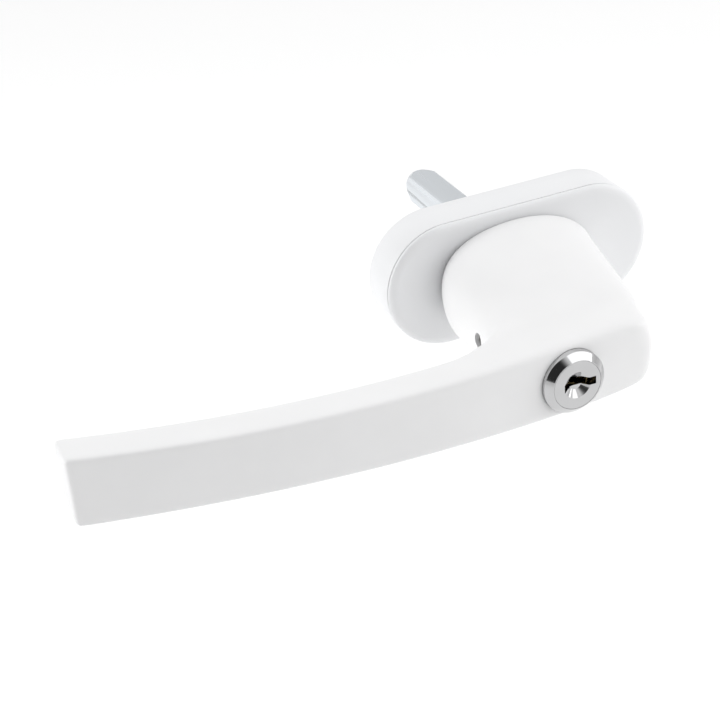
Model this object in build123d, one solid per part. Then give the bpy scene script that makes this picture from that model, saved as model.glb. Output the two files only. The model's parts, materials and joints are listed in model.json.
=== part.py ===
from build123d import *
import math
import os

# Keyed window handle for a tilt-and-turn window. Millimetres.
# Origin: centre of the mounting face, on the spindle axis. The room is towards -Y,
# the sash is towards +Y, +Z is up, and the grip points along -X.
# A depth is a distance in front of the mounting face, so it grows towards -Y.

# Running gaps
FIT_GAP = 0.02
RUNNING_GAP = 0.05
SEAM_GAP = 0.05
FREE_GAP = 0.15

# Rosette: body with a turning cap over its screws
ROSETTE_LENGTH = 67.0
ROSETTE_WIDTH = 30.0
ROSETTE_DEPTH = 11.5
CAP_THICKNESS = 1.3
CAP_EDGE_RADIUS = 1.15
CAP_HOLE_RADIUS = 11.5
CAP_SLEEVE_WALL = 0.8
CAP_SLEEVE_LENGTH = 1.8
BODY_DEPTH = ROSETTE_DEPTH - CAP_THICKNESS
BODY_EDGE_CHAMFER = 0.2
SCREW_SPACING = 43.0
SCREW_HOLE_RADIUS = 2.65
SCREW_HEAD_RADIUS = 4.9
POCKET_LENGTH = 29.0
POCKET_WIDTH = 24.0
POCKET_DEPTH = 6.0
POCKET_CORNER = 2.0
PLATE_LENGTH = 61.0
PLATE_WIDTH = 25.5
PLATE_THICKNESS = 1.2
PLATE_HOLE_RADIUS = 5.4
LUG_RADIUS = 5.0
LUG_HEIGHT = 3.0

# Bearing and spindle
SPINDLE_SIDE = 7.0
SPINDLE_END_Y = 44.0
SPINDLE_POINT_LENGTH = 4.0
SPINDLE_CORNER_RADIUS = 5.1
SPINDLE_POINT_RADIUS = 3.2
SPINDLE_SOCKET_DEPTH = 31.0
JOURNAL_RADIUS = 6.5
JOURNAL_END = 4.6
BUSH_WALL = 1.0
BUSH_FLANGE_RADIUS = 7.7
BUSH_FLANGE = 0.5
WASHER_RADIUS = 7.6
WASHER_THICKNESS = 0.8
CLIP_THICKNESS = 0.7
CLIP_GROOVE_DEPTH = 0.75
CLIP_OUTER_RADIUS = 7.6
CLIP_BACK = 5.1
CLIP_OPENING = 5.0
DETENT_SIDE = 14.4
DETENT_CORNER_RADIUS = 9.3
DETENT_BACK = 1.5
DETENT_THICKNESS = 2.9
LEAF_THICKNESS = 0.6
LEAF_WIDTH = 2.6
LEAF_FLAT = 15.0
LEAF_END_X = 13.6
LEAF_END_Z = 11.3

# Lever: neck and bowed grip
NECK_BASE = 11.7
FRONT_RADIUS = 280.0
BOW_X = -34.0
BOW_DEPTH = 62.5
GRIP_THICKNESS = 9.6
TIP_X = -118.4
TIP_HALF_WIDTH = 7.85
WAIST_X = -58.0
WAIST_HALF_WIDTH = 7.05
HEAD_X = -14.0
HEAD_HALF_WIDTH = 7.4
TIP_CORNER_RADIUS = 1.2
GRIP_BACK_RADIUS = 2.0
FRONT_EDGE_RADIUS = 1.2
# depth, left edge, right edge, half width, squareness of the rounded section
NECK_SECTIONS = (
    (NECK_BASE, -20.8, 18.3, 12.2, 2.1),
    (22.0, -23.3, 15.7, 11.7, 2.4),
    (32.0, -24.5, 13.1, 10.6, 2.5),
    (42.0, -25.8, 10.4, 9.3, 2.8),
    (50.0, -29.4, 7.9, 8.2, 3.4),
    (57.0, -33.2, 6.0, 7.65, 4.2),
    (65.0, -38.0, 3.4, 7.6, 4.6),
)
SECTION_POINTS = 24

# Lock cylinder in the lever's head
LOCK_X = -15.9
COLLAR_RADIUS = 7.0
COLLAR_SEAT = 61.3
COLLAR_RIM = 63.1
COLLAR_FACE = 64.4
COLLAR_FACE_RADIUS = 5.6
HOUSING_RADIUS = 6.3
HOUSING_BACK = 34.6
PLUG_HEAD_RADIUS = 5.4
PLUG_HEAD_LENGTH = 1.2
PLUG_RADIUS = 4.8
PLUG_BODY_BACK = 41.0
STEM_RADIUS = 3.0
STEM_BACK = 33.6
TANG_LENGTH = 5.0
TANG_WIDTH = 2.4
TANG_BACK = 31.6
FUNNEL_RADIUS = 3.0
FUNNEL_FLOOR_RADIUS = 1.4
FUNNEL_DEPTH = 1.0
KEYWAY_BACK = 47.0
# front view of the keyway, from the plug's centre
KEYWAY_UPPER = ((-3.0, 0.8), (-1.7, 1.35), (1.1, 1.45), (2.6, 0.95), (4.3, 0.9))
KEYWAY_LOWER = ((4.3, -0.85), (2.6, -0.8), (1.1, -0.4), (-0.9, -0.35), (-2.1, -0.7), (-3.0, -1.05))
PLUG_CLIP_BACK = 33.95
PLUG_CLIP_THICKNESS = 0.5
PLUG_CLIP_RADIUS = 4.5
PLUG_CLIP_GROOVE = 2.4
PLUG_CLIP_OPENING = 2.4

# Wafers in the plug
WAFER_COUNT = 5
WAFER_FIRST = 60.8
WAFER_PITCH = 2.6
WAFER_THICKNESS = 1.0
WAFER_HALF_HEIGHT = 2.4
WAFER_WINDOW_X = 0.65
WAFER_WINDOW_LENGTH = 7.0
WAFER_WINDOW_HEIGHT = 3.1
EAR_X = 1.55
EAR_WIDTH = 0.6
EAR_TOP = 3.6
WAFER_SPRING_RADIUS = 0.42
WAFER_SPRING_WIRE = 0.09
WAFER_SPRING_START = -1.7
WAFER_SPRING_LENGTH = 2.8
WAFER_SPRING_TURNS = 4

# Drive barrel and locking bolt
BARREL_RADIUS = 4.0
BARREL_FRONT = 33.5
BARREL_BACK = 25.2
BOLT_X = -9.5
BOLT_THICKNESS = 3.0
BOLT_WIDTH = 5.4
BOLT_TIP = 12.2
BOLT_FRONT = 34.2
BOLT_TIP_CHAMFER = 0.4
BOLT_TRAVEL = 5.0
KEY_TURN = 90.0
FOLLOWER_RADIUS = 1.0
FOLLOWER_DEPTH = 32.2
FOLLOWER_REACH = 2.2
FOLLOWER_END_X = -8.6
GROOVE_STEP = 5.0
LOCK_HOLE_FLOOR = 5.0

# Pin that keeps the cylinder in the neck
PIN_RADIUS = 1.95
PIN_DEPTH = 38.0
PIN_OUTER_X = -23.9
PIN_INNER_X = -19.3
PIN_BORE_RADIUS = 1.1
PIN_SLOT = 0.7


def at_depth(depth):
    """The front-view plane at a depth: its x is X, its y is Z, and it faces the room."""
    return Plane.XZ.offset(depth)


def slab(sketch, back, front):
    """A front-view sketch made solid between two depths."""
    return extrude(at_depth(back) * sketch, amount=front - back)


def disc(radius, back, front, x=0.0):
    return slab(Pos(x, 0) * Circle(radius), back, front)


def ring(outer, inner, back, front, x=0.0):
    return disc(outer, back, front, x) - disc(inner, back, front, x)


def cone(back_radius, front_radius, back, front, x=0.0):
    blank = Cone(back_radius, front_radius, front - back, align=(Align.CENTER, Align.CENTER, Align.MIN))
    return at_depth(back) * Pos(x, 0, 0) * blank


def rod_along_x(radius, start_x, end_x, depth):
    """A round rod along X on the centre line."""
    return Pos(start_x, -depth, 0) * Rot(0, 90, 0) * Cylinder(
        radius, end_x - start_x, align=(Align.CENTER, Align.CENTER, Align.MIN)
    )


def clip_ring(outer, inner, opening, back, thickness, x=0.0):
    """An open retaining ring; its gap points along +Z."""
    front = back + thickness
    gap = slab(Pos(x, outer) * Rectangle(opening, 2 * outer), back, front)
    return ring(outer, inner, back, front, x) - gap


def turned(shape, x, angle):
    """Turn a shape about the Y-parallel axis through x."""
    return Pos(x, 0, 0) * Rot(0, angle, 0) * Pos(-x, 0, 0) * shape


def stadium(length, width):
    return SlotOverall(length, width)


def bolt_outline(extra=0.0):
    """The bolt's front-view outline, upright beside the spindle."""
    outline = SlotOverall(BOLT_WIDTH + 2 * extra, BOLT_THICKNESS + 2 * extra, rotation=90)
    return Pos(BOLT_X, 0) * outline


# ---------------------------------------------------------------- rosette
def make_rosette_body():
    half_spacing = SCREW_SPACING / 2
    body = slab(stadium(ROSETTE_LENGTH, ROSETTE_WIDTH), 0, BODY_DEPTH)
    body = chamfer(body.faces().sort_by(Axis.Y)[0].outer_wire().edges(), BODY_EDGE_CHAMFER)
    body -= slab(stadium(PLATE_LENGTH + 2 * FREE_GAP, PLATE_WIDTH + 2 * FREE_GAP), 0, PLATE_THICKNESS)
    body -= slab(RectangleRounded(POCKET_LENGTH, POCKET_WIDTH, POCKET_CORNER), 0, POCKET_DEPTH)
    body -= disc(JOURNAL_RADIUS + BUSH_WALL + FIT_GAP, 0, BODY_DEPTH)
    sleeve_outer = CAP_HOLE_RADIUS + CAP_SLEEVE_WALL
    groove_floor = BODY_DEPTH - CAP_SLEEVE_LENGTH - FREE_GAP
    body -= ring(sleeve_outer + FREE_GAP, CAP_HOLE_RADIUS - FREE_GAP, groove_floor, BODY_DEPTH)
    for side in (-1, 1):
        screw_x = side * half_spacing
        sink = SCREW_HEAD_RADIUS - SCREW_HOLE_RADIUS
        body -= disc(SCREW_HOLE_RADIUS, 0, BODY_DEPTH, screw_x)
        body -= cone(SCREW_HOLE_RADIUS, SCREW_HEAD_RADIUS, BODY_DEPTH - sink, BODY_DEPTH, screw_x)
        lock_hole = slab(bolt_outline(FREE_GAP), LOCK_HOLE_FLOOR, BODY_DEPTH)
        body -= turned(lock_hole, 0, 90 - side * 90)
    return body


def make_rosette_cap():
    back = BODY_DEPTH + SEAM_GAP
    cap = slab(stadium(ROSETTE_LENGTH, ROSETTE_WIDTH), back, ROSETTE_DEPTH)
    cap = fillet(cap.faces().sort_by(Axis.Y)[0].outer_wire().edges(), CAP_EDGE_RADIUS)
    cap += disc(CAP_HOLE_RADIUS + CAP_SLEEVE_WALL, BODY_DEPTH - CAP_SLEEVE_LENGTH, ROSETTE_DEPTH)
    return cap - disc(CAP_HOLE_RADIUS, 0, ROSETTE_DEPTH)


def make_back_plate():
    plate = slab(stadium(PLATE_LENGTH, PLATE_WIDTH), 0, PLATE_THICKNESS)
    for side in (-1, 1):
        plate += disc(LUG_RADIUS, -LUG_HEIGHT, PLATE_THICKNESS, side * SCREW_SPACING / 2)
    for side in (-1, 1):
        plate -= disc(SCREW_HOLE_RADIUS, -LUG_HEIGHT, PLATE_THICKNESS, side * SCREW_SPACING / 2)
    return plate - disc(PLATE_HOLE_RADIUS, 0, PLATE_THICKNESS)


def make_bearing_bush():
    outer = JOURNAL_RADIUS + BUSH_WALL
    bush = disc(outer, POCKET_DEPTH, BODY_DEPTH)
    bush += disc(BUSH_FLANGE_RADIUS, BODY_DEPTH, BODY_DEPTH + BUSH_FLANGE)
    return bush - disc(JOURNAL_RADIUS + RUNNING_GAP, POCKET_DEPTH, BODY_DEPTH + BUSH_FLANGE)


def make_leaf_spring(side):
    """A bent leaf that bears on the upper (1) or lower (-1) flat of the detent block."""
    inner_z = DETENT_SIDE / 2 + RUNNING_GAP
    middle = inner_z + LEAF_THICKNESS / 2
    half_flat = LEAF_FLAT / 2
    path = Polyline(
        (-LEAF_END_X, side * LEAF_END_Z),
        (-half_flat, side * middle),
        (half_flat, side * middle),
        (LEAF_END_X, side * LEAF_END_Z),
    )
    strip = trace(path, LEAF_THICKNESS)
    back = DETENT_BACK + (DETENT_THICKNESS - LEAF_WIDTH) / 2
    return slab(strip, back, back + LEAF_WIDTH)


# ---------------------------------------------------------------- lever
def neck_section(depth, left, right, half_width, squareness):
    """A closed rounded outline: an ellipse at 2, squarer with a larger number."""
    centre = (left + right) / 2
    reach = (right - left) / 2
    points = []
    for index in range(SECTION_POINTS):
        angle = 2 * math.pi * index / SECTION_POINTS
        cosine, sine = math.cos(angle), math.sin(angle)
        x = centre + reach * math.copysign(abs(cosine) ** (2 / squareness), cosine)
        z = half_width * math.copysign(abs(sine) ** (2 / squareness), sine)
        points.append((x, -depth, z))
    return make_face(Spline(*points, periodic=True))


def make_neck():
    return loft([neck_section(*section) for section in NECK_SECTIONS])


def bow_cylinder(radius):
    """The big upright cylinder whose skin is a bowed face of the lever."""
    return Pos(BOW_X, FRONT_RADIUS - BOW_DEPTH, 0) * Cylinder(radius, 4 * ROSETTE_WIDTH)


def grip_outline():
    """Front view of the grip: slightly waisted, widest at the tip."""
    edges = []
    for side in (1, -1):
        edges.append(
            ThreePointArc(
                (TIP_X, side * TIP_HALF_WIDTH),
                (WAIST_X, side * WAIST_HALF_WIDTH),
                (HEAD_X, side * HEAD_HALF_WIDTH),
            )
        )
    edges.append(Line((TIP_X, TIP_HALF_WIDTH), (TIP_X, -TIP_HALF_WIDTH)))
    edges.append(Line((HEAD_X, HEAD_HALF_WIDTH), (HEAD_X, -HEAD_HALF_WIDTH)))
    face = make_face(edges)
    tip_corners = face.vertices().sort_by(Axis.X)[:2]
    return fillet(tip_corners, TIP_CORNER_RADIUS)


def bow_distance(point):
    """How far a point is from the axis of the bow."""
    return math.hypot(point.X - BOW_X, point.Y - FRONT_RADIUS + BOW_DEPTH)


def rim_edges(grip, radius):
    """The edges, tip included, where the grip's sides meet the bowed face of that radius."""
    outer = [edge for edge in grip.edges() if edge.center().X < HEAD_X - 1]
    return [edge for edge in outer if abs(bow_distance(edge.center()) - radius) < GRIP_THICKNESS / 6]


def make_grip():
    grip = slab(grip_outline(), 0, 2 * BOW_DEPTH)
    grip &= bow_cylinder(FRONT_RADIUS)
    grip -= bow_cylinder(FRONT_RADIUS - GRIP_THICKNESS)
    grip = fillet(rim_edges(grip, FRONT_RADIUS), FRONT_EDGE_RADIUS)
    return fillet(rim_edges(grip, FRONT_RADIUS - GRIP_THICKNESS), GRIP_BACK_RADIUS)


def make_head():
    head = make_neck() & bow_cylinder(FRONT_RADIUS)
    rim = [edge for edge in head.edges() if edge.bounding_box().max.Y < -BOW_DEPTH * 0.9]
    return fillet(rim, FRONT_EDGE_RADIUS)


def make_lever_blank():
    return make_head() + make_grip()


def make_lever():
    """The casting: neck, grip and journal, bored for the spindle, the bolt and the cylinder."""
    lever = make_lever_blank() + disc(JOURNAL_RADIUS, JOURNAL_END, NECK_BASE + 1)
    clip_front = CLIP_BACK + CLIP_THICKNESS + RUNNING_GAP
    groove_floor = JOURNAL_RADIUS - CLIP_GROOVE_DEPTH
    lever -= ring(JOURNAL_RADIUS + 1, groove_floor, CLIP_BACK - RUNNING_GAP, clip_front)
    socket = SPINDLE_SIDE + 2 * FIT_GAP
    lever -= slab(Rectangle(socket, socket), 0, SPINDLE_SOCKET_DEPTH)
    lever -= slab(bolt_outline(FREE_GAP), NECK_BASE - 1, BOLT_FRONT + 4 * FREE_GAP)
    slot_length = BOLT_X - LOCK_X
    slot_width = 2 * FOLLOWER_RADIUS + 2 * FREE_GAP
    follower_slot = Pos(LOCK_X + slot_length / 2, 0) * Rectangle(slot_length, slot_width)
    lever -= slab(follower_slot, NECK_BASE - 1, BARREL_FRONT)
    lever -= disc(BARREL_RADIUS + 2 * RUNNING_GAP, BARREL_BACK - FREE_GAP, HOUSING_BACK, LOCK_X)
    clip_room = PLUG_CLIP_BACK - FREE_GAP
    lever -= disc(HOUSING_RADIUS + RUNNING_GAP, clip_room, COLLAR_FACE, LOCK_X)
    lever -= disc(COLLAR_RADIUS + RUNNING_GAP, COLLAR_SEAT, COLLAR_FACE, LOCK_X)
    pin_hole = rod_along_x(PIN_RADIUS + FIT_GAP, TIP_X / 3, LOCK_X, PIN_DEPTH)
    return lever - pin_hole


def make_spindle():
    """A 7 mm square bar with a turned point."""
    front_end = SPINDLE_SOCKET_DEPTH - 2 * RUNNING_GAP
    spindle = slab(Rectangle(SPINDLE_SIDE, SPINDLE_SIDE), -SPINDLE_END_Y, front_end)
    point_base = SPINDLE_POINT_LENGTH - SPINDLE_END_Y
    turned_bar = disc(SPINDLE_CORNER_RADIUS, point_base, SPINDLE_SOCKET_DEPTH)
    turned_bar += cone(SPINDLE_POINT_RADIUS, SPINDLE_CORNER_RADIUS, -SPINDLE_END_Y, point_base)
    return spindle & turned_bar


def make_detent_block():
    """The square block on the spindle that the two leaves hold at each quarter turn."""
    outline = Rectangle(DETENT_SIDE, DETENT_SIDE) & Circle(DETENT_CORNER_RADIUS)
    outline -= Rectangle(SPINDLE_SIDE + 3 * FIT_GAP, SPINDLE_SIDE + 3 * FIT_GAP)
    return slab(outline, DETENT_BACK, DETENT_BACK + DETENT_THICKNESS)


def make_lever_clip():
    inner = JOURNAL_RADIUS - CLIP_GROOVE_DEPTH + RUNNING_GAP
    return clip_ring(CLIP_OUTER_RADIUS, inner, CLIP_OPENING, CLIP_BACK, CLIP_THICKNESS)


def make_thrust_washer():
    back = BODY_DEPTH + BUSH_FLANGE + RUNNING_GAP
    return ring(WASHER_RADIUS, JOURNAL_RADIUS + RUNNING_GAP, back, back + WASHER_THICKNESS)


# ---------------------------------------------------------------- lock cylinder
def make_cylinder_housing():
    housing = disc(HOUSING_RADIUS, HOUSING_BACK, COLLAR_SEAT + 1, LOCK_X)
    housing += disc(COLLAR_RADIUS, COLLAR_SEAT, COLLAR_RIM, LOCK_X)
    housing += cone(COLLAR_RADIUS, COLLAR_FACE_RADIUS, COLLAR_RIM, COLLAR_FACE, LOCK_X)
    head_back = COLLAR_FACE - PLUG_HEAD_LENGTH - RUNNING_GAP
    housing -= disc(PLUG_HEAD_RADIUS + RUNNING_GAP, head_back, COLLAR_FACE, LOCK_X)
    housing -= disc(PLUG_RADIUS + RUNNING_GAP, PLUG_BODY_BACK - RUNNING_GAP, COLLAR_FACE, LOCK_X)
    housing -= disc(STEM_RADIUS + RUNNING_GAP, HOUSING_BACK, COLLAR_FACE, LOCK_X)
    pin_end = PIN_INNER_X + FIT_GAP
    return housing - rod_along_x(PIN_RADIUS + FIT_GAP, TIP_X / 3, pin_end, PIN_DEPTH)


def make_cylinder_pin():
    """A rolled spring pin: a slit tube through the neck's wall into the side of the cylinder."""
    pin = rod_along_x(PIN_RADIUS, PIN_OUTER_X, PIN_INNER_X, PIN_DEPTH)
    pin -= rod_along_x(PIN_BORE_RADIUS, PIN_OUTER_X, PIN_INNER_X, PIN_DEPTH)
    length = PIN_INNER_X - PIN_OUTER_X
    centre_x = (PIN_OUTER_X + PIN_INNER_X) / 2
    return pin - Pos(centre_x, -PIN_DEPTH, -PIN_RADIUS) * Box(length, PIN_SLOT, 2 * PIN_RADIUS)


def keyway_outline():
    return Pos(LOCK_X, 0) * make_face(Polyline(*KEYWAY_UPPER, *KEYWAY_LOWER, close=True))


def wafer_depths():
    """The back face of each wafer, from the front of the lock."""
    return [WAFER_FIRST - WAFER_THICKNESS - index * WAFER_PITCH for index in range(WAFER_COUNT)]


def ear_pocket(extra):
    """Room in the plug beside a wafer for its ear and its spring."""
    start = WAFER_SPRING_START - extra
    end = EAR_X + EAR_WIDTH / 2 + extra
    height = EAR_TOP + extra
    return Pos((start + end) / 2, height / 2) * Rectangle(end - start, height)


def make_plug():
    plug = disc(PLUG_HEAD_RADIUS, COLLAR_FACE - PLUG_HEAD_LENGTH, COLLAR_FACE, LOCK_X)
    plug += disc(PLUG_RADIUS, PLUG_BODY_BACK, COLLAR_FACE, LOCK_X)
    plug += disc(STEM_RADIUS, STEM_BACK, COLLAR_FACE, LOCK_X)
    plug += slab(Pos(LOCK_X, 0) * Rectangle(TANG_WIDTH, TANG_LENGTH), TANG_BACK, STEM_BACK + 1)
    plug -= cone(FUNNEL_FLOOR_RADIUS, FUNNEL_RADIUS, COLLAR_FACE - FUNNEL_DEPTH, COLLAR_FACE, LOCK_X)
    plug -= slab(keyway_outline(), KEYWAY_BACK, COLLAR_FACE)
    groove_front = PLUG_CLIP_BACK + PLUG_CLIP_THICKNESS + RUNNING_GAP
    plug -= ring(STEM_RADIUS + 1, PLUG_CLIP_GROOVE, PLUG_CLIP_BACK - RUNNING_GAP, groove_front, LOCK_X)
    wafer_slot = Rectangle(2 * PLUG_RADIUS + 1, 2 * (WAFER_HALF_HEIGHT + RUNNING_GAP))
    for back in wafer_depths():
        front = back + WAFER_THICKNESS + RUNNING_GAP
        plug -= slab(Pos(LOCK_X, 0) * (wafer_slot + ear_pocket(RUNNING_GAP)), back - RUNNING_GAP, front)
    return plug


def make_wafer(index):
    """A flat tumbler with a window for the key and an ear for its spring."""
    outline = Rectangle(2 * PLUG_RADIUS, 2 * WAFER_HALF_HEIGHT)
    outline += Pos(EAR_X, EAR_TOP / 2) * Rectangle(EAR_WIDTH, EAR_TOP)
    outline &= Circle(PLUG_RADIUS - RUNNING_GAP)
    outline -= Pos(WAFER_WINDOW_X, 0) * Rectangle(WAFER_WINDOW_LENGTH, WAFER_WINDOW_HEIGHT)
    back = wafer_depths()[index]
    return slab(Pos(LOCK_X, 0) * outline, back, back + WAFER_THICKNESS)


def make_wafer_springs():
    """One small coil spring between the plug and each wafer's ear."""
    pitch = WAFER_SPRING_LENGTH / WAFER_SPRING_TURNS
    line = Helix(pitch, WAFER_SPRING_LENGTH, WAFER_SPRING_RADIUS)
    section = Plane(origin=line @ 0, z_dir=line % 0) * Circle(WAFER_SPRING_WIRE)
    coil = Rot(0, 90, 0) * sweep(section, path=line)
    spring_z = (WAFER_HALF_HEIGHT + EAR_TOP) / 2
    start_x = LOCK_X + WAFER_SPRING_START + WAFER_SPRING_WIRE
    springs = []
    for back in wafer_depths():
        springs.append(Pos(start_x, -back - WAFER_THICKNESS / 2, spring_z) * coil)
    return Compound(children=springs)


def make_plug_clip():
    inner = PLUG_CLIP_GROOVE + RUNNING_GAP
    return clip_ring(
        PLUG_CLIP_RADIUS, inner, PLUG_CLIP_OPENING, PLUG_CLIP_BACK, PLUG_CLIP_THICKNESS, LOCK_X
    )


# ---------------------------------------------------------------- bolt drive
def groove_cutter():
    """The follower's path in the barrel: it moves back by the bolt's travel in a key turn."""
    radius = FOLLOWER_RADIUS + FREE_GAP
    start_x = LOCK_X + FOLLOWER_REACH - FREE_GAP
    cutter = None
    for index in range(round(KEY_TURN / GROOVE_STEP) + 1):
        angle = index * GROOVE_STEP
        depth = FOLLOWER_DEPTH - BOLT_TRAVEL * angle / KEY_TURN
        tool = rod_along_x(radius, start_x, LOCK_X + BARREL_RADIUS + 1, depth)
        tool = turned(tool, LOCK_X, -angle)
        cutter = tool if cutter is None else cutter + tool
    return cutter


def make_drive_barrel():
    barrel = disc(BARREL_RADIUS, BARREL_BACK, BARREL_FRONT, LOCK_X)
    tang_slot = Rectangle(TANG_WIDTH + 2 * RUNNING_GAP, TANG_LENGTH + 2 * RUNNING_GAP)
    barrel -= slab(Pos(LOCK_X, 0) * tang_slot, TANG_BACK - RUNNING_GAP, BARREL_FRONT)
    return barrel - groove_cutter()


def make_locking_bolt():
    bolt = slab(bolt_outline(), BOLT_TIP, BOLT_FRONT)
    tip = bolt.faces().sort_by(Axis.Y)[-1]
    bolt = chamfer(tip.outer_wire().edges(), BOLT_TIP_CHAMFER)
    return bolt - rod_along_x(FOLLOWER_RADIUS + FIT_GAP, LOCK_X, FOLLOWER_END_X, FOLLOWER_DEPTH)


def make_bolt_follower():
    return rod_along_x(FOLLOWER_RADIUS, LOCK_X + FOLLOWER_REACH, FOLLOWER_END_X - FIT_GAP, FOLLOWER_DEPTH)


def all_parts():
    parts = {
        "rosette_body": make_rosette_body(),
        "back_plate": make_back_plate(),
        "bearing_bush": make_bearing_bush(),
        "detent_spring_upper": make_leaf_spring(1),
        "detent_spring_lower": make_leaf_spring(-1),
        "rosette_cap": make_rosette_cap(),
        "lever": make_lever(),
        "spindle": make_spindle(),
        "detent_block": make_detent_block(),
        "lever_clip": make_lever_clip(),
        "thrust_washer": make_thrust_washer(),
        "cylinder_housing": make_cylinder_housing(),
        "cylinder_pin": make_cylinder_pin(),
        "plug": make_plug(),
        "wafer_springs": make_wafer_springs(),
        "plug_clip": make_plug_clip(),
        "drive_barrel": make_drive_barrel(),
        "locking_bolt": make_locking_bolt(),
        "bolt_follower": make_bolt_follower(),
    }
    for index in range(WAFER_COUNT):
        parts[f"wafer_{index + 1}"] = make_wafer(index)
    return parts


os.makedirs("parts", exist_ok=True)
for name, shape in all_parts().items():
    export_step(shape, f"parts/{name}.step")
    print(name, round(shape.volume, 1), len(shape.solids()))
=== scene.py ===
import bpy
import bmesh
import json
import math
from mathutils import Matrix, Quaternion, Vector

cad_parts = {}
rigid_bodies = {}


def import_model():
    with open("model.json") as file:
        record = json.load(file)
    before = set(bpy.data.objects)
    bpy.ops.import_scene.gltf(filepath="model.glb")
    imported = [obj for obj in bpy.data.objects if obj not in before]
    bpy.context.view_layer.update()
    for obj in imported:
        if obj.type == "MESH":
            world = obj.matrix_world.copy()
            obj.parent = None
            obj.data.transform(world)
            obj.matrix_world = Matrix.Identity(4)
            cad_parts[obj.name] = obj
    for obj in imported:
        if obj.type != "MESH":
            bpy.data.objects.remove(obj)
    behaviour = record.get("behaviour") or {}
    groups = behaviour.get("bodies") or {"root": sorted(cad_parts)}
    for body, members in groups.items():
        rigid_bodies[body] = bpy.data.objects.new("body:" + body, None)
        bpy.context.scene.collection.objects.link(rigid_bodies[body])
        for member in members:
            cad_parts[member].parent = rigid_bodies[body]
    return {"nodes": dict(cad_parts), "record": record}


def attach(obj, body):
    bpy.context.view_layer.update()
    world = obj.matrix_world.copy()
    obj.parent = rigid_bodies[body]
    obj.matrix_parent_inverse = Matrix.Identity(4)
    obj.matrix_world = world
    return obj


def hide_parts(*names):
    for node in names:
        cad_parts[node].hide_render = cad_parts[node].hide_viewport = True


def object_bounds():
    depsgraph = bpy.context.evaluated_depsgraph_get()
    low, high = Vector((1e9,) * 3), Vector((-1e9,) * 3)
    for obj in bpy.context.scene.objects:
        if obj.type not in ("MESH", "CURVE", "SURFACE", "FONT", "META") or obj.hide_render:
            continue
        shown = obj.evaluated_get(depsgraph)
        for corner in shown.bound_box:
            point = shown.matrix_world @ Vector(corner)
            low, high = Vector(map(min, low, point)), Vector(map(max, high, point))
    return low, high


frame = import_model()

# %% [markdown]
# This is the handle of a tilt-and-turn window, with a key lock in its head. The loaded parts
# already stand in their places, in metres: the room is towards -Y, the sash is towards +Y, and
# the grip points along -X. The box of the design is kept first, because the floor and the
# lights are placed from it.

MM = 0.001
cad_low, cad_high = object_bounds()
print("parts loaded:", len(frame["nodes"]))
print("designed box, mm:", [round(value / MM, 1) for value in (*cad_low, *cad_high)])

# %% [markdown]
# The camera looks down at the handle from the room side, a little from the left, like somebody
# who reaches for the grip. It is turned slightly about its own line of sight, so the grip runs
# down to the left. A camera looks along its own -Z axis, so that axis is pointed at the aim.

# %% Camera
CAMERA_AIM = Vector((-37.0, 1.6, -20.5)) * MM
CAMERA_DISTANCE = 400 * MM
CAMERA_AZIMUTH = math.radians(-21.18)
CAMERA_ELEVATION = math.radians(29.97)
CAMERA_ROLL = math.radians(-5.30)
CAMERA_ANGLE = math.radians(24.04)

bpy.ops.object.select_all(action="DESELECT")
bpy.ops.object.camera_add()
camera = bpy.context.object
backwards = Vector((
    math.sin(CAMERA_AZIMUTH) * math.cos(CAMERA_ELEVATION),
    -math.cos(CAMERA_AZIMUTH) * math.cos(CAMERA_ELEVATION),
    math.sin(CAMERA_ELEVATION),
))
camera.location = CAMERA_AIM + backwards * CAMERA_DISTANCE
camera.rotation_mode = "QUATERNION"
level_view = (-backwards).to_track_quat("-Z", "Y")
camera.rotation_quaternion = level_view @ Quaternion((0, 0, 1), CAMERA_ROLL)
camera.data.angle = CAMERA_ANGLE
camera.data.clip_start = 0.01
bpy.context.scene.camera = camera
print("camera stands at, mm:", [round(value / MM) for value in camera.location])

# %% [markdown]
# A white product stands out from a white table only by its soft shading. The floor lies well
# below the handle, as if the handle were held over it, so no hard shadow is drawn on it, and it
# throws light back up at the underside.

# %% Floor
FLOOR_DROP = 0.30
FLOOR_SIZE = 14.0
FLOOR_WHITE = 0.98

bpy.ops.mesh.primitive_plane_add(size=FLOOR_SIZE, location=(0, 0, cad_low[2] - FLOOR_DROP))
floor = bpy.context.object
floor.name = "floor"
floor_paint = bpy.data.materials.new("floor_paint")
floor_paint.use_nodes = True
floor_shader = floor_paint.node_tree.nodes["Principled BSDF"]
floor_shader.inputs["Base Color"].default_value = (FLOOR_WHITE, FLOOR_WHITE, FLOOR_WHITE, 1)
floor_shader.inputs["Roughness"].default_value = 0.9
floor_shader.inputs["Specular IOR Level"].default_value = 0.2
floor.data.materials.append(floor_paint)
print("floor lies", round(FLOOR_DROP / MM), "mm below the handle")

# %% [markdown]
# The light is a tent, white all round. The side where the camera stands is darker, and chrome
# needs that, because polished metal shows nothing but what is around it. The far side is a
# little dimmer, and that draws the upper face of the bright spindle. The main box hangs at the
# upper right, in front, so the light fades slowly towards the end of the grip. A box at the left
# lights the grip's end and the neck's side, and a small one at the right puts a sparkle in the
# lock.

# %% Light
TENT_STRENGTH = 1.05
TENT_DARK_SIDE = Vector((-0.60, -0.66, 0.42)).normalized()
TENT_DARK_START = 0.68
TENT_DARK_FULL = 0.92
TENT_DARK_LEVEL = 0.04
TENT_FAR_START = -0.6
TENT_FAR_END = -0.3
TENT_FAR_LEVEL = 0.76


def soft_box(name, place, target, size, watts):
    """A square light that points at a target."""
    bpy.ops.object.light_add(type="AREA", location=place)
    lamp = bpy.context.object
    lamp.name = name
    lamp.data.size = size
    lamp.data.energy = watts
    lamp.rotation_mode = "QUATERNION"
    lamp.rotation_quaternion = (target - Vector(place)).to_track_quat("-Z", "Y")
    return lamp


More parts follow.
